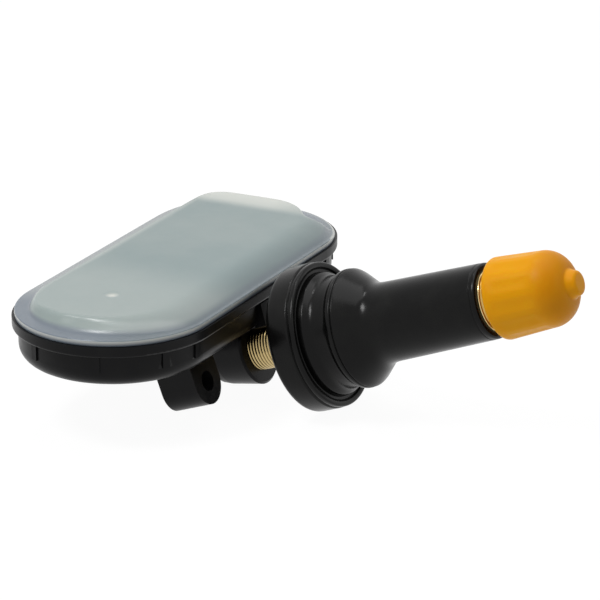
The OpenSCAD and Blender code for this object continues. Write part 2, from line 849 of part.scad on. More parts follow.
module valve_cap() {
    color([0.93, 0.6, 0.08])
        on_stem(0)
            difference() {
                union() {
                    rotate_extrude($fn = 96)
                        polygon([[0, cap_mouth], [cap_mouth_r - 0.3, cap_mouth],
                            [cap_mouth_r - 0.07, cap_mouth + 0.1], [cap_mouth_r, cap_mouth + 0.35],
                            [cap_top_r, cap_top - cap_round], [0, cap_top - cap_round]]);
                    rotate_extrude($fn = 96)
                        intersection() {
                            union() {
                                translate([cap_top_r - cap_round, cap_top - cap_round])
                                    circle(r = cap_round);
                                translate([0, cap_top - 2 * cap_round])
                                    square([cap_top_r - cap_round, 2 * cap_round]);
                            }
                            translate([0, cap_top - cap_round])
                                square([cap_top_r + 1, cap_round + 1]);
                        }
                    rotate_extrude($fn = 64)
                        polygon([[0, cap_top - 0.5], [nub_r, cap_top - 0.5], [nub_r, cap_top],
                            [nub_r - 0.3, cap_top + nub_height / 2], [nub_front_r, cap_top + nub_height],
                            [0, cap_top + nub_height]]);
                }
                flutes();
                translate([0, 0, cap_mouth - 1])
                    cylinder(r = cap_thread_r + cap_play, h = mouth_end + gasket_thick - cap_mouth + 1);
            }
}

housing_tub();
cover();
circuit_board();
battery_can();
battery_cap();
battery_gasket();
battery_tab_plus();
battery_tab_minus();
pressure_sensor();
port_seal();
port_filter();
controller_chip();
crystal_can();
coil_core();
coil_winding();
antenna_loop();
chip_capacitors();
retaining_screw();
brass_stem();
rubber_stem();
core_plug();
core_barrel();
core_barrel_seal();
core_spring();
core_pin();
core_seat_seal();
cap_gasket();
valve_cap();
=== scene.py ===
import math
import bmesh
import bpy
import numpy as np
from mathutils import Matrix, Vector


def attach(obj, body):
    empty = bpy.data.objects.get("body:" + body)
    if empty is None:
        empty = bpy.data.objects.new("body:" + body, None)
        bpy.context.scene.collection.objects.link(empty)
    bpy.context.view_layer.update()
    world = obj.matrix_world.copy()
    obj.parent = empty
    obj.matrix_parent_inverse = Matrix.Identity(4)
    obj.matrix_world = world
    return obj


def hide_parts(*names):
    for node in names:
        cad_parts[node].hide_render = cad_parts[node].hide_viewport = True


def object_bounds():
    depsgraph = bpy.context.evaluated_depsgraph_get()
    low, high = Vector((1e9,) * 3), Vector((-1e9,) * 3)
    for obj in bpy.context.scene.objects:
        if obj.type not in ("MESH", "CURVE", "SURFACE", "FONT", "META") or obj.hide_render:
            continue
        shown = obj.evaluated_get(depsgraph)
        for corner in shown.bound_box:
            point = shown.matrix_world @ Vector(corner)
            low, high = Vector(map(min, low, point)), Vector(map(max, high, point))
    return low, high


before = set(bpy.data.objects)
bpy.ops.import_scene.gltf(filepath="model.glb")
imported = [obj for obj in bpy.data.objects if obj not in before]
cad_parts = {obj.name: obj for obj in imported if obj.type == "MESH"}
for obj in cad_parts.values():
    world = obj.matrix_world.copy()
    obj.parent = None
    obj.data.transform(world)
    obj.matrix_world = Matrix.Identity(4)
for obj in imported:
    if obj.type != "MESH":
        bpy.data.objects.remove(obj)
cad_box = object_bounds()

# Housing tub
# The tub is one moulding of black glass-filled nylon with the boss, the web and the snout of the
# pressure port on it. Its lip carries the cover, and short upright ribs stand round both ends.

MM = 0.001


def start_material(name, roughness, specular=0.5):
    """New node material: returns it with its node maker, its link maker and its shader."""
    material = bpy.data.materials.new(name)
    material.use_nodes = True
    tree = material.node_tree
    shader = tree.nodes["Principled BSDF"]
    shader.inputs["Roughness"].default_value = roughness
    shader.inputs["Specular IOR Level"].default_value = specular
    return material, tree.nodes.new, tree.links.new, shader


def new_group(name, inputs, outputs):
    """Empty shader group with the named sockets: returns it and its two end nodes."""
    group = bpy.data.node_groups.new(name, "ShaderNodeTree")
    for label, kind, value in inputs:
        socket = group.interface.new_socket(label, in_out="INPUT", socket_type=kind)
        socket.default_value = value
    for label, kind in outputs:
        group.interface.new_socket(label, in_out="OUTPUT", socket_type=kind)
    return group, group.nodes.new("NodeGroupInput"), group.nodes.new("NodeGroupOutput")


def feed(link, value, socket):
    """Links an output to the socket, or sets a plain number or colour on it."""
    if isinstance(value, bpy.types.NodeSocket):
        link(value, socket)
    else:
        socket.default_value = value


def noise(node, link, place, scale, detail, roughness=0.5):
    """Noise at the place, with the scale from a socket or a number."""
    grain = node("ShaderNodeTexNoise")
    grain.inputs["Detail"].default_value = detail
    grain.inputs["Roughness"].default_value = roughness
    link(place, grain.inputs["Vector"])
    feed(link, scale, grain.inputs["Scale"])
    return grain.outputs["Fac"]


def eased(node, link, value, start, end):
    """Eased step of a value, from 0 at the start to 1 at the end."""
    ease = node("ShaderNodeMapRange")
    ease.interpolation_type = "SMOOTHSTEP"
    ease.inputs["From Min"].default_value = start
    ease.inputs["From Max"].default_value = end
    link(value, ease.inputs["Value"])
    return ease.outputs["Result"]


def reckoned(node, link, operation, *values):
    """Result of a math node on outputs or numbers."""
    step = node("ShaderNodeMath")
    step.operation = operation
    for value, socket in zip(values, step.inputs):
        feed(link, value, socket)
    return step.outputs[0]


def mixed(node, link, share, first, second):
    """Colour from the first to the second by the share."""
    mix = node("ShaderNodeMix")
    mix.data_type = "RGBA"
    feed(link, share, mix.inputs["Factor"])
    feed(link, first, mix.inputs["A"])
    feed(link, second, mix.inputs["B"])
    return mix.outputs["Result"]


def moulded_skin_group():
    """Skin of a moulded piece. A slow noise mixes the colour with a bloom colour and moves the
    roughness, and a fine noise gives the height of the grain."""
    group, ins, outs = new_group(
        "moulded_skin",
        [("Color", "NodeSocketColor", (0.1, 0.1, 0.1, 1)),
         ("Bloom Color", "NodeSocketColor", (0.2, 0.2, 0.2, 1)),
         ("Bloom", "NodeSocketFloat", 0.3),
         ("Patch Scale", "NodeSocketFloat", 200.0),
         ("Roughness", "NodeSocketFloat", 0.4),
         ("Spread", "NodeSocketFloat", 0.1),
         ("Grain Scale", "NodeSocketFloat", 3000.0)],
        [("Color", "NodeSocketColor"), ("Roughness", "NodeSocketFloat"), ("Height", "NodeSocketFloat")])
    node, link = group.nodes.new, group.links.new
    place = node("ShaderNodeTexCoord").outputs["Object"]
    slow = noise(node, link, place, ins.outputs["Patch Scale"], 5, 0.6)
    patch = eased(node, link, slow, 0.35, 0.72)
    amount = reckoned(node, link, "MULTIPLY", patch, ins.outputs["Bloom"])
    color = mixed(node, link, amount, ins.outputs["Color"], ins.outputs["Bloom Color"])
    rough = reckoned(node, link, "MULTIPLY_ADD", patch, ins.outputs["Spread"], ins.outputs["Roughness"])
    link(color, outs.inputs["Color"])
    link(rough, outs.inputs["Roughness"])
    link(noise(node, link, place, ins.outputs["Grain Scale"], 3), outs.inputs["Height"])
    return group


def placed(node, group, values):
    """The group as a node of a material, with its inputs set to the values."""
    skin = node("ShaderNodeGroup")
    skin.node_tree = group
    for label, value in values.items():
        skin.inputs[label].default_value = value
    return skin


def wear_skin(node, link, shader, skin, color, strength, depth):
    """Puts the colour, the skin's roughness and its height, as a bump in millimetres, on the shader."""
    bump = node("ShaderNodeBump")
    bump.inputs["Strength"].default_value = strength
    bump.inputs["Distance"].default_value = depth * MM
    link(skin.outputs["Height"], bump.inputs["Height"])
    link(color, shader.inputs["Base Color"])
    link(skin.outputs["Roughness"], shader.inputs["Roughness"])
    link(bump.outputs["Normal"], shader.inputs["Normal"])


moulded_skin = moulded_skin_group()


def moulded(name, color, bloom_color, bloom, patch, roughness, spread, grain, depth, specular):
    """Moulded plastic or rubber: the skin group's colour and roughness, and its grain as a bump."""
    material, node, link, shader = start_material(name, roughness, specular)
    skin = placed(node, moulded_skin, {
        "Color": (*color, 1), "Bloom Color": (*bloom_color, 1), "Bloom": bloom, "Patch Scale": patch,
        "Roughness": roughness, "Spread": spread, "Grain Scale": grain})
    wear_skin(node, link, shader, skin, skin.outputs["Color"], 0.5, depth)
    return material


def dress(node_name, material):
    """Puts the material on a CAD node."""
    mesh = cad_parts[node_name].data
    mesh.materials.clear()
    mesh.materials.append(material)


dress("housing_tub", moulded(
    "housing_black", color=(0.0025, 0.0025, 0.003), bloom_color=(0.006, 0.006, 0.006), bloom=0.6,
    patch=350, roughness=0.28, spread=0.08, grain=5200, depth=0.015, specular=0.13))

# Board and its parts
# Inside the sealed tub lies a green board on four posts, with a coin cell under spring tabs, the
# pressure sensor over its duct, a controller, a crystal, a wake-up coil and a loop of strip antenna.

dress("circuit_board", moulded(
    "board_green", color=(0.01, 0.11, 0.045), bloom_color=(0.03, 0.2, 0.09), bloom=0.8,
    patch=700, roughness=0.3, spread=0.12, grain=2400, depth=0.03, specular=0.5))
dress("pressure_sensor", moulded(
    "sensor_body", color=(0.02, 0.02, 0.022), bloom_color=(0.06, 0.06, 0.065), bloom=0.5,
    patch=900, roughness=0.5, spread=0.15, grain=6000, depth=0.02, specular=0.4))
dress("controller_chip", moulded(
    "chip_epoxy", color=(0.012, 0.012, 0.013), bloom_color=(0.05, 0.05, 0.05), bloom=0.4,
    patch=1200, roughness=0.55, spread=0.1, grain=7000, depth=0.02, specular=0.4))
dress("chip_capacitors", moulded(
    "capacitor_ceramic", color=(0.3, 0.2, 0.11), bloom_color=(0.55, 0.45, 0.35), bloom=0.7,
    patch=1500, roughness=0.4, spread=0.1, grain=6000, depth=0.01, specular=0.5))
dress("coil_core", moulded(
    "ferrite_grey", color=(0.02, 0.02, 0.022), bloom_color=(0.09, 0.085, 0.08), bloom=0.5,
    patch=1500, roughness=0.6, spread=0.1, grain=8000, depth=0.02, specular=0.4))
dress("battery_gasket", moulded(
    "gasket_dark", color=(0.02, 0.02, 0.02), bloom_color=(0.05, 0.05, 0.05), bloom=0.4,
    patch=900, roughness=0.5, spread=0.1, grain=5000, depth=0.01, specular=0.4))
dress("port_filter", moulded(
    "filter_membrane", color=(0.09, 0.09, 0.09), bloom_color=(0.25, 0.25, 0.24), bloom=0.8,
    patch=2500, roughness=0.8, spread=0.1, grain=9000, depth=0.05, specular=0.3))
seal_black = moulded(
    "seal_black", color=(0.012, 0.012, 0.012), bloom_color=(0.04, 0.04, 0.04), bloom=0.5,
    patch=900, roughness=0.5, spread=0.15, grain=5000, depth=0.02, specular=0.4)
for seal in ("port_seal", "core_seat_seal", "cap_gasket"):
    dress(seal, seal_black)


def drawn_metal_group():
    """Skin of drawn or turned metal. Lines of noise across the given direction move the roughness
    and give the height of the tool marks, and a slow noise mixes the stain into the colour."""
    group, ins, outs = new_group(
        "drawn_metal",
        [("Color", "NodeSocketColor", (0.7, 0.7, 0.7, 1)),
         ("Stain", "NodeSocketColor", (0.3, 0.3, 0.3, 1)),
         ("Stain Amount", "NodeSocketFloat", 0.4),
         ("Direction", "NodeSocketVector", (0, 0, 1)),
         ("Line Scale", "NodeSocketFloat", 4000.0),
         ("Roughness", "NodeSocketFloat", 0.25),
         ("Spread", "NodeSocketFloat", 0.15)],
        [("Color", "NodeSocketColor"), ("Roughness", "NodeSocketFloat"), ("Height", "NodeSocketFloat")])
    node, link = group.nodes.new, group.links.new
    place = node("ShaderNodeTexCoord").outputs["Object"]
    along = node("ShaderNodeVectorMath")
    along.operation = "DOT_PRODUCT"
    link(place, along.inputs[0])
    link(ins.outputs["Direction"], along.inputs[1])
    lines = node("ShaderNodeTexNoise")
    lines.noise_dimensions = "1D"
    lines.inputs["Detail"].default_value = 4
    link(along.outputs["Value"], lines.inputs["W"])
    link(ins.outputs["Line Scale"], lines.inputs["Scale"])
    patch = eased(node, link, noise(node, link, place, 420, 5), 0.45, 0.75)
    amount = reckoned(node, link, "MULTIPLY", patch, ins.outputs["Stain Amount"])
    color = mixed(node, link, amount, ins.outputs["Color"], ins.outputs["Stain"])
    rough = reckoned(node, link, "MULTIPLY_ADD", lines.outputs["Fac"], ins.outputs["Spread"],
                     ins.outputs["Roughness"])
    link(color, outs.inputs["Color"])
    link(rough, outs.inputs["Roughness"])
    link(lines.outputs["Fac"], outs.inputs["Height"])
    return group


drawn_metal = drawn_metal_group()


def worked_metal(name, color, stain, amount, lines, roughness, spread, direction=(0, 0, 1), depth=0.01):
    """Bare metal: the metal group's colour and roughness, and its tool marks as a bump."""
    material, node, link, shader = start_material(name, roughness)
    shader.inputs["Metallic"].default_value = 1
    skin = placed(node, drawn_metal, {
        "Color": (*color, 1), "Stain": (*stain, 1), "Stain Amount": amount, "Direction": direction,
        "Line Scale": lines, "Roughness": roughness, "Spread": spread})
    wear_skin(node, link, shader, skin, skin.outputs["Color"], 0.4, depth)
    return material


cell_steel = worked_metal("cell_steel", color=(0.62, 0.62, 0.6), stain=(0.4, 0.39, 0.37), amount=0.4,
                          lines=3000, roughness=0.25, spread=0.2, direction=(0.7, 0.7, 0))
dress("battery_can", cell_steel)
dress("battery_cap", cell_steel)
tab_nickel = worked_metal("tab_nickel", color=(0.58, 0.57, 0.54), stain=(0.38, 0.36, 0.32), amount=0.4,
                          lines=4000, roughness=0.3, spread=0.15, direction=(1, 0, 0))
dress("battery_tab_plus", tab_nickel)
dress("battery_tab_minus", tab_nickel)
dress("crystal_can", worked_metal(
    "crystal_steel", color=(0.65, 0.65, 0.66), stain=(0.4, 0.4, 0.4), amount=0.3,
    lines=5000, roughness=0.2, spread=0.1, direction=(0, 1, 0)))
dress("coil_winding", worked_metal(
    "copper_turns", color=(0.6, 0.24, 0.1), stain=(0.35, 0.1, 0.03), amount=0.5,
    lines=9000, roughness=0.3, spread=0.15, direction=(0, 1, 0), depth=0.05))
dress("antenna_loop", worked_metal(
    "antenna_gold", color=(0.75, 0.52, 0.2), stain=(0.5, 0.32, 0.12), amount=0.3,
    lines=5000, roughness=0.25, spread=0.1, direction=(0, 1, 0)))

# Cover
# A thin moulding of milky polypropylene, welded on the tub's lip. It has a low rim, a raised panel
# with a crisp side away from the stem and a long soft roll towards it, and the mark of its gate.

# Middle of the cover's seam in the frame, and the cover's half width and half length, in millimetres
HOUSING = np.array([-25.62, 0.4, 3.93])
COVER_W = 13.27
COVER_L = 30.3
# Heights over the seam: foot of the edge's round, rim and panel
EDGE_FOOT = 0.2
RIM_TOP = 0.8
PANEL_TOP = 2.2
# Underside: the pocket under the panel, which lies off the middle, and the spigot in the tub
POCKET_W = 8.65
POCKET_X = -1.47
POCKET_ROOF = 1.3
SPIGOT_OUT = 11.52
SPIGOT_IN = 10.72
SPIGOT_LOW = -0.9
# Panel: half width towards the stem, along the run and at the far end, and half width away from it,
# then its reach past the far end's centre and the furthest that its square corner goes
STEM_CREST = 7.2
FAR_RIGHT = 8.1
FAR_LEFT = 10.15
FAR_L = 10.65
FAR_MOST = 13.45
# How far the far left corner of the rim stands out of the racetrack
CORNER_OUT = 0.68
# Gate mark: its place on the cover and its depth
GATE = (-0.55, -17.05)
GATE_DEPTH = 0.12

# Tables of values at angles round the cover, in degrees: 0 is towards the stem, 90 the far end, 180
# away from the stem and 270 the near end. They give the corner's share of CORNER_OUT, the crest's
# distance from the middle, the width of the panel's side, the shares of it that ease in at its foot
# and out at its crest, the droop of the rim's edge, and the share of shade on the stem's side.
CORNER = {0: 0, 95: 0, 138: 1, 179: 0, 360: 0}
NEAR_CREST = {180: 10.15, 222: 10.3, 250: 9.1, 270: 8.3, 315: 7.6, 360: 7.2}
SIDE_WIDTH = {0: 5.65, 28: 4.5, 50: 0.9, 90: 0.9, 135: 0.5, 165: 1.0, 180: 1.2, 222: 1.3, 250: 2.8,
              270: 3.7, 315: 4.8, 360: 5.65}
FOOT_EASE = {0: 0.03, 28: 0.1, 50: 0.3, 135: 0.2, 180: 0.3, 222: 0.3, 270: 0.6, 360: 0.03}
CREST_EASE = {0: 0.95, 28: 0.8, 50: 0.4, 135: 0.5, 180: 0.5, 222: 0.5, 270: 0.3, 360: 0.95}
RIM_DROOP = {0: 0, 35: 0.5, 95: 0.5, 140: 0, 360: 0}
STEM_SIDE = {0: 1, 30: 0.9, 75: 0, 275: 0, 320: 1, 360: 1}


def rounded(points, radii, steps=6):
    """Profile with its corners rounded: each corner P between A and B becomes the quadratic curve
    (1-t)^2 a + 2t(1-t) P + t^2 b, with a and b on its two sides at the given distance from P."""
    points = np.asarray(points, float)
    radii = np.broadcast_to(np.asarray(radii, float), len(points))
    t = np.linspace(0, 1, steps)[:, None]
    runs = [points[:1]]
    for before, here, after, reach in zip(points[:-2], points[1:-1], points[2:], radii[1:-1]):
        back, ahead = before - here, after - here
        near = min(reach, 0.48 * np.linalg.norm(back))
        far = min(reach, 0.48 * np.linalg.norm(ahead))
        if min(near, far) < 1e-4:
            runs.append(here[None])
            continue
        a = here + back / np.linalg.norm(back) * near
        b = here + ahead / np.linalg.norm(ahead) * far
        runs.append((1 - t) ** 2 * a + 2 * t * (1 - t) * here + t ** 2 * b)
    runs.append(points[-1:])
    return np.concatenate(runs)


def grid_piece(name, grid, material, body, closed=False, sharp=32, marks=None):
    """Piece from a grid of points in millimetres, rows by columns, closed round its columns and,
    if asked, round its rows. Points that fall together are joined and the faces turned outwards."""
    rows, columns = grid.shape[:2]
    number = np.arange(rows * columns).reshape(rows, columns)
    low = number if closed else number[:-1]
    high = np.roll(number, -1, 0) if closed else number[1:]
    faces = np.stack([low, np.roll(low, -1, 1), np.roll(high, -1, 1), high], -1).reshape(-1, 4)
    mesh = bpy.data.meshes.new(name)
    mesh.from_pydata((grid.reshape(-1, 3) * MM).tolist(), [], faces.tolist())
    for label, values in (marks or {}).items():
        mark = mesh.attributes.new(label, "FLOAT", "POINT")
        mark.data.foreach_set("value", values.ravel().astype(np.float32))
    shape = bmesh.new()
    shape.from_mesh(mesh)
    bmesh.ops.remove_doubles(shape, verts=shape.verts, dist=2e-7)
    bmesh.ops.recalc_face_normals(shape, faces=shape.faces)
    shape.to_mesh(mesh)
    shape.free()
    mesh.shade_smooth()
    mesh.set_sharp_from_angle(angle=math.radians(sharp))
    mesh.materials.append(material)
    piece = bpy.data.objects.new(name, mesh)
    bpy.context.scene.collection.objects.link(piece)
    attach(piece, body)
    return piece


def racetrack(step=0.4, turns=72):
    """Directions and centre offsets round a racetrack: two straight runs, where the direction stays
    and the centre moves, and two half circles, where the centre stays and the direction turns."""
    run = COVER_L - COVER_W
    straight = np.linspace(-run, run, math.ceil(2 * run / step), endpoint=False)
    turn = np.linspace(0, math.pi, turns, endpoint=False)
    angle = np.concatenate([0 * straight, turn, math.pi + 0 * straight, math.pi + turn])
    offset = np.concatenate([straight, run + 0 * turn, -straight, -run + 0 * turn])
    return angle, offset


def step_up(value, start, end):
    """Eased step, 0 at the start and 1 at the end: 3t^2 - 2t^3 of the share t between them."""
    t = np.clip((value - start) / (end - start), 0, 1)
    return t * t * (3 - 2 * t)


def round_edge(degrees, table):
    """Value at each angle round the edge, eased from one stop of the table to the next."""
    stops, values = np.array(list(table.items()), float).T
    place = np.clip(np.searchsorted(stops, degrees, side="right") - 1, 0, len(stops) - 2)
    share = step_up((degrees - stops[place]) / (stops[place + 1] - stops[place]), 0, 1)
    return values[place] + (values[place + 1] - values[place]) * share


def climb(t, foot, crest):
    """Rise from 0 to 1 as t goes from 0 to 1: a parabola over the share foot, a straight run, and a
    parabola over the share crest."""
    steep = 1 / (1 - foot / 2 - crest / 2)
    rise = np.where(t < foot, steep * t * t / (2 * foot), steep * (t - foot / 2))
    return np.where(t > 1 - crest, 1 - steep * (1 - t) ** 2 / (2 * crest), rise)


def soft_min(a, b, width):
    """Lower of two values, with the corner between them eased over the width."""
    h = np.clip(0.5 + 0.5 * (b - a) / width, 0, 1)
    return b + (a - b) * h - width * h * (1 - h)


def panel_edge(across, lengthwise, degrees):
    """Where the rim and the panel's side stand round the cover: the edge's and the crest's distance
    from the middle line or from the end's centre, and the width of the side. At the far end the
    crest is an ellipse on the stem's side and a square with round corners on the other, where the
    edge is a little fuller too."""
    edge = COVER_W + CORNER_OUT * round_edge(degrees, CORNER)
    oval = 1 / np.hypot(across / FAR_RIGHT, lengthwise / FAR_L)
    square = (np.abs(across / FAR_LEFT) ** 7 + np.abs(lengthwise / FAR_L) ** 7) ** (-1 / 7)
    far = np.where(across > 0, oval, soft_min(square, FAR_MOST, 0.6))
    far = STEM_CREST + (far - STEM_CREST) * step_up(degrees, 0, 25)
    near = round_edge(degrees, NEAR_CREST)
    crest = np.where(lengthwise > 1e-6, far, np.where(across < -0.999, FAR_LEFT, near))
    crest = np.where(across > 0.9999, STEM_CREST, crest)
    least_rim = 0.42
    return edge, crest, np.minimum(round_edge(degrees, SIDE_WIDTH), edge - least_rim - crest)


def painted_light_share(x, y, depth, past_crest, height, gate):
    """Share of the painted light: a pale colour that stands in for light and highlights, along the
    panel's far end and left edge, on the near half, the left rim, the edge line and the gate mark."""
    far_band = 0.52 * step_up(y, 21.8, 24.8) + 0.16 * step_up(y, 23.5, 27)
    far_band = far_band * (1 - 0.35 * step_up(x, 0, 6))
    left_band = 0.25 * (1 - step_up(past_crest, 0.1, 1.1)) * step_up(x, -8, -10)
    near_half = 0.17 * step_up(y, -2, -14) * step_up(height, 0.85, 1.4)
    left_rim = 0.3 * step_up(x, -8, -12) * step_up(height, 1.3, 0.9) * step_up(y, -22, -14)
    edge_highlight = np.where((depth < 0.2) & (height < 0.7), 0.5, 0.0)
    gate_highlight = 0.8 * np.exp(-(gate / 0.75) ** 2)
    bands = np.maximum(far_band, left_band) * step_up(height, 1.6, 2.2)
    return np.max([bands, near_half, left_rim, edge_highlight, gate_highlight], 0)


def cover_grid():
    """Cover as rows from the middle line of its underside, round its edge, to the middle line of its
    top. A point is the centre offset plus the row's half width in the column's direction. The top
    is a rim, the panel's side and the panel: the side is crisp and steep away from the stem, and
    towards it a long roll that falls to the edge. Returns the points and three marks for each:
    its height, its share of painted light and its share of painted shade on the roll."""
    angle, offset = racetrack()
    across, lengthwise, degrees = np.cos(angle), np.sin(angle), np.degrees(angle)
    edge, crest, width = panel_edge(across, lengthwise, degrees)
    foot_ease, crest_ease = round_edge(degrees, FOOT_EASE), round_edge(degrees, CREST_EASE)
    droop, stem_side = round_edge(degrees, RIM_DROOP), round_edge(degrees, STEM_SIDE)
    none = 0 * across
    grid, rise, glow, shade = [], [], [], []

    below = rounded(
        [[0, POCKET_ROOF], [POCKET_W, POCKET_ROOF], [POCKET_W, 0.02], [SPIGOT_IN, 0.02],
         [SPIGOT_IN, SPIGOT_LOW], [SPIGOT_OUT, SPIGOT_LOW], [SPIGOT_OUT, 0], [COVER_W, 0],
         [COVER_W, EDGE_FOOT]],
        [0, 0.3, 0.1, 0.1, 0.1, 0.15, 0.02, 0.08, 0], 4)
    for half, height in below:
        shift = POCKET_X if half <= POCKET_W else 0
        half = half + (edge - COVER_W) * (half > SPIGOT_OUT + 0.2)
        grid.append(np.stack([shift + half * across, offset + half * lengthwise, height + none], -1))
        rise.append(none)
        glow.append(none)
        shade.append(none)

    # Rows of the top as depth in from the edge, height before the climb, and place on the side
    rim_start = 0.4
    foot = edge - crest - width
    wall = rounded([[0, EDGE_FOOT], [0, RIM_TOP], [rim_start, RIM_TOP]], [0, 0.32, 0], 7)[1:]
    top = [(depth + none, height, 0) for depth, height in wall]
    top += [(rim_start + (foot - rim_start) * share, RIM_TOP, 0) for share in np.linspace(0, 1, 6)[1:]]
    top += [(foot + width * t, RIM_TOP, t) for t in np.linspace(0, 1, 26)[1:]]
    top += [(edge - crest * (1 - share), RIM_TOP, 1) for share in np.linspace(0, 1, 46)[1:]]
    for depth, height, t in top:
        half = edge - depth
        x, y = half * across, offset + half * lengthwise
        fall = droop * (1 - np.clip(depth / 3, 0, 1)) ** 2
        rim = height - fall * (height - EDGE_FOOT) / (RIM_TOP - EDGE_FOOT)
        height = rim + (PANEL_TOP - rim) * climb(t, foot_ease, crest_ease)
        gate = np.hypot(x - GATE[0], y - GATE[1])
        grid.append(np.stack([x, y, height - GATE_DEPTH * np.exp(-(gate / 0.7) ** 2)], -1))
        rise.append(height)
        # Painted light: a pale colour standing in for highlights and light on the wall, the edge and the
        # gate
        glow.append(painted_light_share(x, y, depth, depth - foot - width, height, gate))
        # Painted shade on the roll towards the stem, in place of its shading
        shade.append(0.7 * stem_side * step_up(depth, 5.8, -0.2))
    marks = {"rise": np.array(rise), "glow": np.array(glow), "shade": np.array(shade)}
    return np.array(grid) + HOUSING, marks


def milky_cover():
    """Milky plastic: greyish green over the dark inside, bluer where it lies low, with painted light, a
    pale colour where the wall turns up, painted shade on the roll, faint clouds and an even soft gloss."""
    material, node, link, shader = start_material("milky_cover", 0.3, 0.5)
    skin = placed(node, moulded_skin, {
        "Color": (0.177, 0.243, 0.243, 1), "Bloom Color": (0.25, 0.3, 0.29, 1), "Bloom": 0.7,
        "Patch Scale": 35, "Roughness": 0.24, "Spread": 0.03, "Grain Scale": 900})
    rim_blue = (0.138, 0.168, 0.203, 1)
    # Dark grey of the painted shade on the roll
    painted_roll_shade = (0.105, 0.135, 0.145, 1)
    # Pale colour of the painted light
    painted_light_white = (0.72, 0.72, 0.66, 1)

    def mark(label):
        attribute = node("ShaderNodeAttribute")
        attribute.attribute_name = label
        return attribute.outputs["Fac"]

    low = eased(node, link, mark("rise"), 1.4, 0.9)
    color = mixed(node, link, low, skin.outputs["Color"], rim_blue)
    # Painted shade: mixes in the dark grey on the roll towards the stem by the shade mark
    color = mixed(node, link, mark("shade"), color, painted_roll_shade)
    # Painted light: mixes in the pale colour by the glow mark
    color = mixed(node, link, mark("glow"), color, painted_light_white)
    wear_skin(node, link, shader, skin, color, 0.15, 0.02)
    shader.inputs["Subsurface Weight"].default_value = 0.25
    shader.inputs["Subsurface Radius"].default_value = (0.9, 1.0, 1.1)
    shader.inputs["Subsurface Scale"].default_value = 1.2 * MM
    return material


cover_points, cover_marks = cover_grid()
cover = grid_piece("cover_moulding", cover_points, milky_cover(), "sensor",
                   marks=cover_marks)
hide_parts("cover")

# Brass insert
# Turned from brass bar, with a fine screw thread at its inner end and the coarser cap thread at its
# mouth. The rubber is bonded to it, and a screw from the back of the boss holds its inner end.

# The stem's own directions: along it, to its side along the housing, and up from it
TILT = math.radians(20)
STEM = np.array([math.cos(TILT), 0.0, math.sin(TILT)])
SIDE = np.array([0.0, 1.0, 0.0])
LIFT = np.array([-math.sin(TILT), 0.0, math.cos(TILT)])
# Station of the frame's origin. Stations run along the stem from the flange's front, in millimetres
SEAT_MID = 2.6
BRASS_ROUND = 120
# Screw thread at the inner end, from its end to the rubber
SCREW_PITCH = 0.45
SCREW_R = 2.86
SCREW_DEPTH = 0.1
SCREW_START = -14.4
SCREW_END = -3
# Cap thread at the mouth
CAP_PITCH = 0.794
CAP_THREAD_R = 3.85
CAP_DEPTH = 0.42
CAP_THREAD_START = 25
CAP_THREAD_END = 31.8
MOUTH = 32.0
# Collar on the end of the rubber sleeve
SLEEVE_END = 24.5
COLLAR_R = 4.2
COLLAR_END = 24.8
# Outside under the rubber, where the two are bonded
BOND_R = 3.56
# Inside: the air bore, the core's chamber, the core's thread and the retaining screw's bore
AIR_R = 1.15
CHAMBER_R = 1.95
CORE_R = 2.45
TAP_R = 1.5


def along_line(points, step):
    """The same line of points with more of them, none further apart than the step."""
    runs = [np.linspace(a, b, max(1, math.ceil(np.linalg.norm(b - a) / step)), endpoint=False)
            for a, b in zip(points[:-1], points[1:])]
    return np.concatenate(runs + [points[-1:]])


def turned_grid(profile, around):
    """Surface turned about the stem: station s, radius r and angle t give the point
    STEM (s - SEAT_MID) + r (SIDE cos t + LIFT sin t). Radii may vary with the angle."""
    angle = np.linspace(0, 2 * math.pi, around, endpoint=False)
    ring = np.cos(angle)[:, None] * SIDE + np.sin(angle)[:, None] * LIFT
    station, radius = profile[:, 0], profile[:, 1:]
    radius = np.broadcast_to(radius, (len(profile), around))
    return (station - SEAT_MID)[:, None, None] * STEM + radius[:, :, None] * ring[None]


def thread(station, around, pitch, depth, start, end):
    """Depth of a right-handed screw thread under its crest: a rounded V wave of the phase
    s / pitch - t / 2 pi, faded out over one pitch at each end."""
    flat, roundness = 0.125, 0.35
    angle = np.linspace(0, 1, around, endpoint=False)
    phase = (station[:, None] / pitch - angle[None]) % 1.0
    wave = np.clip((1 + 2 * flat) * np.abs(2 * phase - 1) - flat, 0, 1)
    wave = roundness * wave * wave * (3 - 2 * wave) + (1 - roundness) * wave
    fade = np.clip(np.minimum(station - start, end - station) / pitch, 0, 1)[:, None]
    return depth * wave * fade


def tint_by(material, attribute, color):
    """Mixes the colour into the material's own colour by the share in the vertex attribute."""
    node, link = material.node_tree.nodes.new, material.node_tree.links.new
    base = material.node_tree.nodes["Principled BSDF"].inputs["Base Color"]
    own_color = base.links[0].from_socket
    share = node("ShaderNodeAttribute")
    share.attribute_name = attribute
    link(mixed(node, link, share.outputs["Fac"], own_color, (*color, 1)), base)


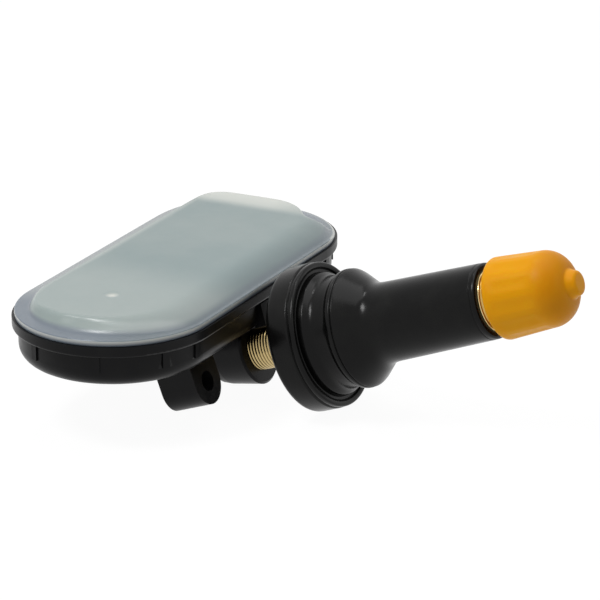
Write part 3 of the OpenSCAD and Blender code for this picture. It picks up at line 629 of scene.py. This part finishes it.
# Stations and radii from the inner end along the outside to the mouth, and back through the bore.
# The second list has each one's rounding.
brass_outline = rounded(
    [[SCREW_START, TAP_R], [SCREW_START, 2.61], [-14.15, SCREW_R], [SCREW_END, SCREW_R],
     [SCREW_END, BOND_R], [20, BOND_R], [21, 3.45], [23.9, 3.45], [24.3, CAP_THREAD_R],
     [SLEEVE_END, CAP_THREAD_R], [SLEEVE_END, COLLAR_R], [COLLAR_END, COLLAR_R],
     [COLLAR_END, CAP_THREAD_R], [31.6, CAP_THREAD_R], [MOUTH, 3.45], [MOUTH, 2.6],
     [31.8, CORE_R], [27.1, CORE_R], [26.3, CHAMBER_R], [17.3, CHAMBER_R], [16.5, AIR_R],
     [-8.2, AIR_R], [-8.5, TAP_R], [SCREW_START, TAP_R]],
    [0, 0.05, 0.05, 0, 0, 0, 0, 0, 0.05, 0, 0.05, 0.15, 0, 0.1, 0.08, 0.05, 0.05, 0.1, 0.1, 0.1,
     0.1, 0.1, 0.1, 0], 4)
brass_outline = along_line(brass_outline, 10)

# The screw thread's run is divided finely. The cap thread's run isn't, because it starts at the
# collar's end, before 24.95. That is a fault: only the outer end of the cap thread is cut.
thread_step = 0.045
runs = []
for a, b in zip(brass_outline[:-1], brass_outline[1:]):
    length = abs(b[0] - a[0])
    on_screw = a[0] < SCREW_END and b[0] <= SCREW_END
    on_cap_thread = a[0] > 24.95
    divided = (on_screw or on_cap_thread) and min(a[1], b[1]) > 2.7 and length > 0.3
    count = max(1, math.ceil(length / thread_step)) if divided else 1
    runs.append(np.linspace(a, b, count, endpoint=False))
brass_profile = np.concatenate(runs)
station, radius = brass_profile[:, :1], brass_profile[:, 1:]
screw_cut = ((station < -3.2) & (radius > 2.7)) * thread(
    station[:, 0], BRASS_ROUND, SCREW_PITCH, SCREW_DEPTH, -14.3, SCREW_END)
cap_cut = (radius > 3.6) * thread(
    station[:, 0], BRASS_ROUND, CAP_PITCH, CAP_DEPTH, CAP_THREAD_START, CAP_THREAD_END)
cut = screw_cut + cap_cut

# Painted shade in the gap under the cap's mouth and over the screw thread, darkest in its roots
painted_gap_shade = step_up(station, 24.78, 24.9) * step_up(station, 26.6, 25.8)
painted_thread_shade = np.where(station < -3.1, 0.2 + 0.5 * cut / SCREW_DEPTH, 0)
stem_brass = worked_metal("stem_brass", color=(0.8, 0.62, 0.3), stain=(0.55, 0.38, 0.14), amount=0.35,
                          lines=1500, roughness=0.14, spread=0.1, direction=STEM, depth=0.003)
# Mixes the dark brown of the painted shade into the brass by its mark
tint_by(stem_brass, "recess", (0.06, 0.04, 0.015))
insert = grid_piece("brass_insert", turned_grid(np.concatenate([station, radius - cut], 1), BRASS_ROUND),
                    stem_brass, "sensor", closed=True,
                    marks={"recess": np.maximum(0.9 * painted_gap_shade, painted_thread_shade)})
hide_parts("brass_stem")
dress("retaining_screw", worked_metal(
    "screw_zinc", color=(0.5, 0.51, 0.53), stain=(0.3, 0.3, 0.3), amount=0.4,
    lines=4000, roughness=0.3, spread=0.15, direction=STEM))

# Rubber stem
# Black rubber moulded round the insert: a flange with a rounded sealing ridge, a dished foot, the
# neck that the wheel's rim grips, a stepped bulb that snaps through the hole, and a long sleeve.

RUBBER_ROUND = 192
FLANGE_R = 9.8
FLANGE_BACK = -4.3
NECK_R = 7.5

# Stations and radii, in rows: back and rim of the flange, its ridge and dish, neck and bulb, the
# bulb's cone, sleeve and mouth, and the inside on the brass. The second list has each one's rounding.
rubber_outline = rounded(
    [[-4.0, 2.87], [FLANGE_BACK, 3.2], [FLANGE_BACK, FLANGE_R], [-1.02, FLANGE_R], [-0.84, 9.52],
     [-0.66, 9.74], [0.02, 9.68], [0.0, 9.0], [-0.45, 8.8], [-0.45, 8.3], [0.52, 8.2],
     [1.25, NECK_R], [3.5, NECK_R], [3.85, 7.95], [4.42, 7.97], [4.56, 7.72], [4.72, 7.95],
     [5.15, 7.68], [7.55, 5.62], [8.6, 5.3],
     [23.6, 5.03], [23.7, 4.93], [23.8, 5.02], [SLEEVE_END, 4.98], [SLEEVE_END, 3.86],
     [24.3, 3.86], [23.9, 3.46], [21, 3.46], [20, 3.57], [-2.99, 3.57], [-2.99, 2.87], [-4.0, 2.87]],
    [0, 0.2, 0.82, 0.15, 0.08,
     0.2, 0.45, 0.25, 0.2, 0.2, 0.12,
     0.6, 0.5, 0.25, 0.12, 0.08, 0.12,
     0.3, 0.7, 1.0,
     0.03, 0.04, 0.12, 0.35, 0.05,
     0.02, 0, 0, 0, 0, 0, 0], 7)
stem_black = moulded(
    "stem_black", color=(0.0025, 0.0025, 0.0025), bloom_color=(0.006, 0.006, 0.0055), bloom=0.7,
    patch=260, roughness=0.2, spread=0.07, grain=4200, depth=0.012, specular=0.14)
rubber = grid_piece("rubber_moulding", turned_grid(along_line(rubber_outline, 1.2)[:-1], RUBBER_ROUND),
                    stem_black, "sensor", closed=True)
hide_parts("rubber_stem")

# Valve core
# A brass core is screwed into the stem's mouth: plug, barrel with its red seal, and a sprung pin
# with the seat seal at its inner end.

core_brass = worked_metal("core_brass", color=(0.72, 0.5, 0.2), stain=(0.4, 0.25, 0.08), amount=0.4,
                          lines=6000, roughness=0.22, spread=0.12, direction=STEM)
for brass_node in ("core_plug", "core_barrel", "core_pin"):
    dress(brass_node, core_brass)
dress("core_barrel_seal", moulded(
    "seal_red", color=(0.32, 0.03, 0.02), bloom_color=(0.42, 0.08, 0.05), bloom=0.5,
    patch=900, roughness=0.45, spread=0.1, grain=5000, depth=0.02, specular=0.4))
dress("core_spring", worked_metal(
    "spring_steel", color=(0.6, 0.6, 0.62), stain=(0.4, 0.4, 0.4), amount=0.3,
    lines=6000, roughness=0.2, spread=0.1, direction=STEM))

# Valve cap
# Moulded orange-yellow plastic, screwed on the stem's mouth. Its side tapers a little and carries
# twelve shallow grip flutes, and its top is a wide dome with a small nub in the middle.

CAP_ROUND = 288
CAP_MOUTH = 25.65
CAP_MOUTH_R = 5.43
CAP_SIDE_END = 32.5
# The dome is a quarter circle of this radius, with its middle this far from the axis
DOME_R = 3.5
DOME_OFF = 1.5
NUB_FOOT_R = 2.3
NUB_END = 37.2
CAP_BORE_R = 3.9
CAP_BORE_START = 25.9
CAP_BORE_END = 33.0
# Smallest radius, so that the rings at the axis close up
AXIS_R = 0.001
FLUTES = 12
FLUTE_START = 26.6
FLUTE_END = 32.6
FLUTE_DEPTH = 0.1
# Half width of a flute as a share of the way to the next
FLUTE_HALF = 0.4

# Outside: the side with its flutes, the dome and the nub
cap_side = rounded(
    [[CAP_BORE_START, 3.95], [CAP_MOUTH, 4.2], [CAP_MOUTH, CAP_MOUTH_R], [CAP_SIDE_END, DOME_R + DOME_OFF]],
    [0, 0.1, 0.58, 0], 10)
bend = np.linspace(0, math.pi / 2, 26)[1:]
dome = np.stack([CAP_SIDE_END + DOME_R * np.sin(bend), DOME_OFF + DOME_R * np.cos(bend)], 1)
dome = dome[dome[:, 1] > NUB_FOOT_R]
nub = rounded([dome[-1], [35.96, 1.98], [36.55, 1.75], [NUB_END, 1.5], [NUB_END, AXIS_R]],
              [0, 0.28, 0.3, 0.5, 0], 8)[1:]
outside = along_line(np.concatenate([cap_side, dome, nub]), 0.35)
flute_place = (np.linspace(0, FLUTES, CAP_ROUND, endpoint=False) + 0.5) % 1.0 - 0.5
flute_across = np.clip(1 - (flute_place / FLUTE_HALF) ** 2, 0, 1) ** 2
flute_along = step_up(np.minimum(outside[:, 0] - FLUTE_START, FLUTE_END - outside[:, 0]), 0, 0.7)
flute_along = np.where(outside[:, 1] > 4.5, flute_along, 0)
outer_radii = outside[:, 1:] - FLUTE_DEPTH * flute_along[:, None] * flute_across[None]

# Inside: the roof in coarse steps, and the wall in fine ones that carry the thread
bore = np.array([[CAP_BORE_END, AXIS_R], [CAP_BORE_END, CAP_BORE_R], [CAP_BORE_START, CAP_BORE_R]])
inside = along_line(bore, 0.066)
on_wall = inside[:, 1] > CAP_BORE_R - 0.01
inside = inside[on_wall | (np.arange(len(inside)) % 12 == 0)]
inner_radii = inside[:, 1:] - thread(
    inside[:, 0], CAP_ROUND, CAP_PITCH, CAP_DEPTH, CAP_BORE_START, CAP_THREAD_END)
cap_grid = np.concatenate([
    turned_grid(np.concatenate([outside[:, :1], outer_radii], 1), CAP_ROUND),
    turned_grid(np.concatenate([inside[:, :1], inner_radii], 1), CAP_ROUND)])


def cap_orange():
    """Orange-yellow plastic in slow patches, with painted shade, a dark brown, over the dome towards the
    nub.
    """
    material = moulded(
        "cap_orange", color=(0.77, 0.34, 0.002), bloom_color=(0.73, 0.285, 0.002), bloom=0.5,
        patch=160, roughness=0.36, spread=0.1, grain=2600, depth=0.02, specular=0.1)
    # Painted shade: a dark brown mixed in over the dome by its mark
    tint_by(material, "painted_dome_shade", (0.42, 0.12, 0.001))
    shader = material.node_tree.nodes["Principled BSDF"]
    shader.inputs["Subsurface Weight"].default_value = 0.3
    shader.inputs["Subsurface Radius"].default_value = (1.0, 0.45, 0.05)
    shader.inputs["Subsurface Scale"].default_value = 1.6 * MM
    return material


# The painted shade comes in over the dome and is weaker on the nub
outer_station = np.concatenate([outside[:, 0], 0 * inside[:, 0]])[:, None] + np.zeros(CAP_ROUND)
cap_painted_shade = 0.42 * step_up(outer_station, 31.6, 35.2)
cap_painted_shade = cap_painted_shade * (0.35 + 0.65 * step_up(outer_station, 36.3, 35.7))
cap = grid_piece("cap_moulding", cap_grid, cap_orange(), "cap", closed=True,
                 marks={"painted_dome_shade": cap_painted_shade})
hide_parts("valve_cap")

# Floor, light and camera
# A wide pale floor, a large soft lamp overhead, a smaller key lamp, two weak ones for the right side
# and the panel's crest, and a long lens that looks along the stem's side from a little above.

# Half the floor's side, and its height just under the object, in metres
FLOOR_HALF = 3
FLOOR_Z = cad_box[0][2] - 0.00002
corners = [(-FLOOR_HALF, -FLOOR_HALF), (FLOOR_HALF, -FLOOR_HALF), (FLOOR_HALF, FLOOR_HALF),
           (-FLOOR_HALF, FLOOR_HALF)]
floor_mesh = bpy.data.meshes.new("floor")
floor_mesh.from_pydata([(x, y, FLOOR_Z) for x, y in corners], [], [(0, 1, 2, 3)])


def ranged(node, link, value, low, high):
    """Value from the low number to the high one, as the input goes from 0 to 1."""
    span = node("ShaderNodeMapRange")
    span.inputs["To Min"].default_value = low
    span.inputs["To Max"].default_value = high
    link(value, span.inputs["Value"])
    return span.outputs["Result"]


def floor_paper():
    """Pale paper that keeps the shadow and shows white to the camera and in gloss."""
    material, node, link, shader = start_material("floor_paper", 0.9, 0.1)
    clouds = node("ShaderNodeTexNoise")
    clouds.inputs["Scale"].default_value = 3
    link(ranged(node, link, clouds.outputs["Fac"], 0.48, 0.52), shader.inputs["Base Color"])
    glow = node("ShaderNodeEmission")
    glow.inputs["Strength"].default_value = 1.12
    rays = node("ShaderNodeLightPath").outputs
    seen = reckoned(node, link, "MAXIMUM", rays["Is Camera Ray"], rays["Is Glossy Ray"])
    blend = node("ShaderNodeMixShader")
    link(ranged(node, link, seen, 0.35, 0.85), blend.inputs["Fac"])
    link(shader.outputs["BSDF"], blend.inputs[1])
    link(glow.outputs["Emission"], blend.inputs[2])
    link(blend.outputs["Shader"], material.node_tree.nodes["Material Output"].inputs["Surface"])
    return material


floor_mesh.materials.append(floor_paper())
floor = bpy.data.objects.new("floor", floor_mesh)
bpy.context.scene.collection.objects.link(floor)


def studio_world():
    """White where it is seen, in gloss or through the object, and a quarter of that as light."""
    world = bpy.data.worlds.new("studio")
    world.use_nodes = True
    node, link = world.node_tree.nodes.new, world.node_tree.links.new
    rays = node("ShaderNodeLightPath").outputs
    seen = reckoned(node, link, "MAXIMUM", rays["Is Camera Ray"], rays["Is Glossy Ray"])
    seen = reckoned(node, link, "MAXIMUM", seen, rays["Is Transmission Ray"])
    background = world.node_tree.nodes["Background"]
    link(ranged(node, link, seen, 0.25, 1.0), background.inputs["Strength"])
    background.inputs["Color"].default_value = (1, 1, 1, 1)
    return world


bpy.context.scene.world = studio_world()


def standing(across, up, back, place):
    """Matrix of a thing with these axes that stands at the place."""
    return Matrix([[across[k], up[k], back[k], place[k]] for k in range(3)] + [[0, 0, 0, 1]])


def soft_lamp(name, place, aim, size, power):
    """Square area lamp at the place, turned to the aim."""
    lamp = bpy.data.lights.new(name, "AREA")
    lamp.size = size
    lamp.energy = power
    lit = bpy.data.objects.new(name, lamp)
    place, aim = np.array(place), np.array(aim)
    back = (place - aim) / np.linalg.norm(place - aim)
    across = np.cross([0, 0, 1], back)
    across = across / np.linalg.norm(across)
    lit.matrix_world = standing(across, np.cross(back, across), back, place)
    bpy.context.scene.collection.objects.link(lit)


soft_lamp("key_lamp", place=(-0.17, -0.25, 0.48), aim=(0, 0, 0), size=0.16, power=1.7)
soft_lamp("over_lamp", place=(0.05, 0.12, 0.5), aim=(0, 0, 0), size=0.4, power=1.0)
soft_lamp("right_lamp", place=(0.5, 0.1, 0.3), aim=(0, 0, 0), size=0.12, power=0.12)
soft_lamp("crest_lamp", place=(-0.2, 0.13, 0.45), aim=(-0.025, 0, 0), size=0.035, power=0.22)

# The camera's turn about the upright, its rise and its roll, and where it stands in metres
TURN = math.radians(27.10)
RISE = math.radians(19.90)
ROLL = math.radians(-0.23)
CAMERA_PLACE = (0.190660, -0.386757, 0.160331)
back = np.array([math.sin(TURN) * math.cos(RISE), -math.cos(TURN) * math.cos(RISE), math.sin(RISE)])
right = np.array([math.cos(TURN), math.sin(TURN), 0.0])
up = np.cross(back, right)
rolled_right = right * math.cos(ROLL) + up * math.sin(ROLL)
rolled_up = -right * math.sin(ROLL) + up * math.cos(ROLL)
camera_data = bpy.data.cameras.new("camera")
camera_data.lens = 210
camera_data.sensor_width = 36
camera_data.clip_start = 0.01
camera_data.clip_end = 20
camera = bpy.data.objects.new("camera", camera_data)
camera.matrix_world = standing(rolled_right, rolled_up, back, CAMERA_PLACE)
bpy.context.scene.collection.objects.link(camera)
bpy.context.scene.camera = camera
bpy.context.scene.view_settings.view_transform = "Standard"
